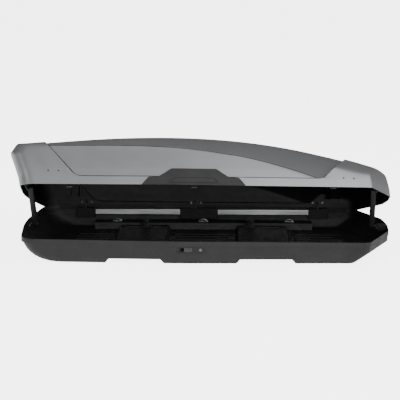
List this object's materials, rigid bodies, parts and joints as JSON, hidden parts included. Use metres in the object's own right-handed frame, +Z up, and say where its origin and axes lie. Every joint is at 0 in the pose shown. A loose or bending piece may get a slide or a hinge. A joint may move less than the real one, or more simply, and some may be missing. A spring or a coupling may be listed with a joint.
{
  "type": "roof cargo box",
  "caption": "Rigid roof-top cargo box with a hinged silver lid, black base tray, side latch rails, end lifter arms and sliding roof-bar clamps.",
  "frame": {"origin": "plan centre of the base on its lowest plane", "axes": "+X to the nose, +Y to the left side (hinged at rest), +Z up"},
  "size_m": [2.144, 0.9575, 0.644],
  "materials": {
    "base_plastic": "textured matt",
    "lid_silver": "silver-grey metallic gloss",
    "trim_plastic": "fine matt",
    "inner_plastic": "matt",
    "mech_plastic": "satin moulded",
    "knob_plastic": "satin moulded",
    "dark_fastener": "satin",
    "bar_aluminium": "anodised satin",
    "bright_steel": "zinc plated",
    "pin_steel": "satin",
    "bracket_steel": "grey coated"
  },
  "bodies": {
    "base": {"base_shell": "base_plastic", "far_guide_bars": "bar_aluminium", "far_latch_housings": "mech_plastic", "far_lock_bezel": "mech_plastic", "front_lifter_base_bracket": "mech_plastic", "front_lifter_base_screws": "bright_steel", "lashing_loops": "bright_steel", "lifter_springs": "pin_steel", "near_guide_bars": "bar_aluminium", "near_latch_housings": "mech_plastic", "near_lock_bezel": "mech_plastic", "rear_lifter_base_bracket": "mech_plastic", "rear_lifter_base_screws": "bright_steel"},
    "lid": {"cross_member_rivets": "dark_fastener", "far_bracket_screws": "bright_steel", "far_handle_trim": "trim_plastic", "far_hinge_studs": "pin_steel", "far_lid_brackets": "bracket_steel", "front_cross_member": "inner_plastic", "front_lifter_track": "bracket_steel", "lid_shell": "lid_silver", "near_bracket_screws": "bright_steel", "near_handle_trim": "trim_plastic", "near_hinge_studs": "pin_steel", "near_lid_brackets": "bracket_steel", "rear_cross_member": "inner_plastic", "rear_lifter_track": "bracket_steel"},
    "rear_lifter": {"rear_lifter_arm": "mech_plastic", "rear_lifter_pins": "pin_steel"},
    "front_lifter": {"front_lifter_arm": "mech_plastic", "front_lifter_pins": "pin_steel"},
    "near_slide": {"near_slide_rod": "pin_steel", "near_latch_sleeves": "mech_plastic", "near_slide_knob": "knob_plastic"},
    "far_slide": {"far_slide_rod": "pin_steel", "far_latch_sleeves": "mech_plastic", "far_slide_knob": "knob_plastic"},
    "near_key": {"near_key_barrel": "bright_steel"},
    "far_key": {"far_key_barrel": "bright_steel"},
    "rear_near_clamp_carriage": {"rear_near_clamp_carriage": "mech_plastic"},
    "rear_near_clamp_knob": {"rear_near_clamp_knob": "mech_plastic"},
    "rear_near_clamp_jaw_back": {"rear_near_clamp_jaw_back": "bracket_steel"},
    "rear_near_clamp_jaw_front": {"rear_near_clamp_jaw_front": "bracket_steel"},
    "rear_far_clamp_carriage": {"rear_far_clamp_carriage": "mech_plastic"},
    "rear_far_clamp_knob": {"rear_far_clamp_knob": "mech_plastic"},
    "rear_far_clamp_jaw_back": {"rear_far_clamp_jaw_back": "bracket_steel"},
    "rear_far_clamp_jaw_front": {"rear_far_clamp_jaw_front": "bracket_steel"},
    "front_near_clamp_carriage": {"front_near_clamp_carriage": "mech_plastic"},
    "front_near_clamp_knob": {"front_near_clamp_knob": "mech_plastic"},
    "front_near_clamp_jaw_back": {"front_near_clamp_jaw_back": "bracket_steel"},
    "front_near_clamp_jaw_front": {"front_near_clamp_jaw_front": "bracket_steel"},
    "front_far_clamp_carriage": {"front_far_clamp_carriage": "mech_plastic"},
    "front_far_clamp_knob": {"front_far_clamp_knob": "mech_plastic"},
    "front_far_clamp_jaw_back": {"front_far_clamp_jaw_back": "bracket_steel"},
    "front_far_clamp_jaw_front": {"front_far_clamp_jaw_front": "bracket_steel"}
  },
  "joints": [
    {"name": "lid_hinge", "type": "hinge", "parent": "base", "child": "lid", "pos_m": [0, 0.402, 0.116], "axis": [1, 0, 0], "range_deg": [0, 21]},
    {"name": "rear_lifter_swing", "type": "hinge", "parent": "base", "child": "rear_lifter", "pos_m": [-0.967, 0, 0.116], "axis": [1, 0, 0], "range_deg": [0, 66]},
    {"name": "front_lifter_swing", "type": "hinge", "parent": "base", "child": "front_lifter", "pos_m": [0.977, 0, 0.112], "axis": [1, 0, 0], "range_deg": [0, 66]},
    {"name": "near_latch_slide", "type": "slide", "parent": "base", "child": "near_slide", "axis": [1, 0, 0], "range_m": [-0.028, 0]},
    {"name": "far_latch_slide", "type": "slide", "parent": "base", "child": "far_slide", "axis": [1, 0, 0], "range_m": [0, 0.028]},
    {"name": "near_key_turn", "type": "hinge", "parent": "base", "child": "near_key", "pos_m": [0.002, -0.44, 0.08], "axis": [0, 1, 0], "range_deg": [0, 90]},
    {"name": "far_key_turn", "type": "hinge", "parent": "base", "child": "far_key", "pos_m": [0.002, 0.44, 0.08], "axis": [0, 1, 0], "range_deg": [0, 90]},
    {"name": "rear_near_clamp_slide", "type": "slide", "parent": "base", "child": "rear_near_clamp_carriage", "axis": [1, 0, 0], "range_m": [-0.079, 0.061]},
    {"name": "rear_near_clamp_knob_turn", "type": "hinge", "parent": "rear_near_clamp_carriage", "child": "rear_near_clamp_knob", "pos_m": [-0.345, -0.29, 0.07], "axis": [0, 0, 1], "range_deg": [0, 1080]},
    {"name": "rear_near_clamp_jaw_back_swing", "type": "hinge", "parent": "rear_near_clamp_carriage", "child": "rear_near_clamp_jaw_back", "pos_m": [-0.367, -0.29, 0.0165], "axis": [0, 1, 0], "range_deg": [-80, 0]},
    {"name": "rear_near_clamp_jaw_front_swing", "type": "hinge", "parent": "rear_near_clamp_carriage", "child": "rear_near_clamp_jaw_front", "pos_m": [-0.323, -0.29, 0.0165], "axis": [0, 1, 0], "range_deg": [0, 80]},
    {"name": "rear_far_clamp_slide", "type": "slide", "parent": "base", "child": "rear_far_clamp_carriage", "axis": [1, 0, 0], "range_m": [-0.079, 0.061]},
    {"name": "rear_far_clamp_knob_turn", "type": "hinge", "parent": "rear_far_clamp_carriage", "child": "rear_far_clamp_knob", "pos_m": [-0.345, 0.29, 0.07], "axis": [0, 0, 1], "range_deg": [0, 1080]},
    {"name": "rear_far_clamp_jaw_back_swing", "type": "hinge", "parent": "rear_far_clamp_carriage", "child": "rear_far_clamp_jaw_back", "pos_m": [-0.367, 0.29, 0.0165], "axis": [0, 1, 0], "range_deg": [-80, 0]},
    {"name": "rear_far_clamp_jaw_front_swing", "type": "hinge", "parent": "rear_far_clamp_carriage", "child": "rear_far_clamp_jaw_front", "pos_m": [-0.323, 0.29, 0.0165], "axis": [0, 1, 0], "range_deg": [0, 80]},
    {"name": "front_near_clamp_slide", "type": "slide", "parent": "base", "child": "front_near_clamp_carriage", "axis": [1, 0, 0], "range_m": [-0.001, 0.139]},
    {"name": "front_near_clamp_knob_turn", "type": "hinge", "parent": "front_near_clamp_carriage", "child": "front_near_clamp_knob", "pos_m": [0.285, -0.29, 0.07], "axis": [0, 0, 1], "range_deg": [0, 1080]},
    {"name": "front_near_clamp_jaw_back_swing", "type": "hinge", "parent": "front_near_clamp_carriage", "child": "front_near_clamp_jaw_back", "pos_m": [0.263, -0.29, 0.0165], "axis": [0, 1, 0], "range_deg": [-80, 0]},
    {"name": "front_near_clamp_jaw_front_swing", "type": "hinge", "parent": "front_near_clamp_carriage", "child": "front_near_clamp_jaw_front", "pos_m": [0.307, -0.29, 0.0165], "axis": [0, 1, 0], "range_deg": [0, 80]},
    {"name": "front_far_clamp_slide", "type": "slide", "parent": "base", "child": "front_far_clamp_carriage", "axis": [1, 0, 0], "range_m": [-0.001, 0.139]},
    {"name": "front_far_clamp_knob_turn", "type": "hinge", "parent": "front_far_clamp_carriage", "child": "front_far_clamp_knob", "pos_m": [0.285, 0.29, 0.07], "axis": [0, 0, 1], "range_deg": [0, 1080]},
    {"name": "front_far_clamp_jaw_back_swing", "type": "hinge", "parent": "front_far_clamp_carriage", "child": "front_far_clamp_jaw_back", "pos_m": [0.263, 0.29, 0.0165], "axis": [0, 1, 0], "range_deg": [-80, 0]},
    {"name": "front_far_clamp_jaw_front_swing", "type": "hinge", "parent": "front_far_clamp_carriage", "child": "front_far_clamp_jaw_front", "pos_m": [0.307, 0.29, 0.0165], "axis": [0, 1, 0], "range_deg": [0, 80]}
  ],
  "couplings": [
    {"joint": "rear_lifter_swing", "follows": "lid_hinge", "ratio": 3.1429},
    {"joint": "front_lifter_swing", "follows": "lid_hinge", "ratio": 3.1429},
    {"joint": "rear_near_clamp_jaw_back_swing", "follows": "rear_near_clamp_knob_turn", "ratio": -0.074074},
    {"joint": "rear_near_clamp_jaw_front_swing", "follows": "rear_near_clamp_knob_turn", "ratio": 0.074074},
    {"joint": "rear_far_clamp_jaw_back_swing", "follows": "rear_far_clamp_knob_turn", "ratio": -0.074074},
    {"joint": "rear_far_clamp_jaw_front_swing", "follows": "rear_far_clamp_knob_turn", "ratio": 0.074074},
    {"joint": "front_near_clamp_jaw_back_swing", "follows": "front_near_clamp_knob_turn", "ratio": -0.074074},
    {"joint": "front_near_clamp_jaw_front_swing", "follows": "front_near_clamp_knob_turn", "ratio": 0.074074},
    {"joint": "front_far_clamp_jaw_back_swing", "follows": "front_far_clamp_knob_turn", "ratio": -0.074074},
    {"joint": "front_far_clamp_jaw_front_swing", "follows": "front_far_clamp_knob_turn", "ratio": 0.074074}
  ]
}
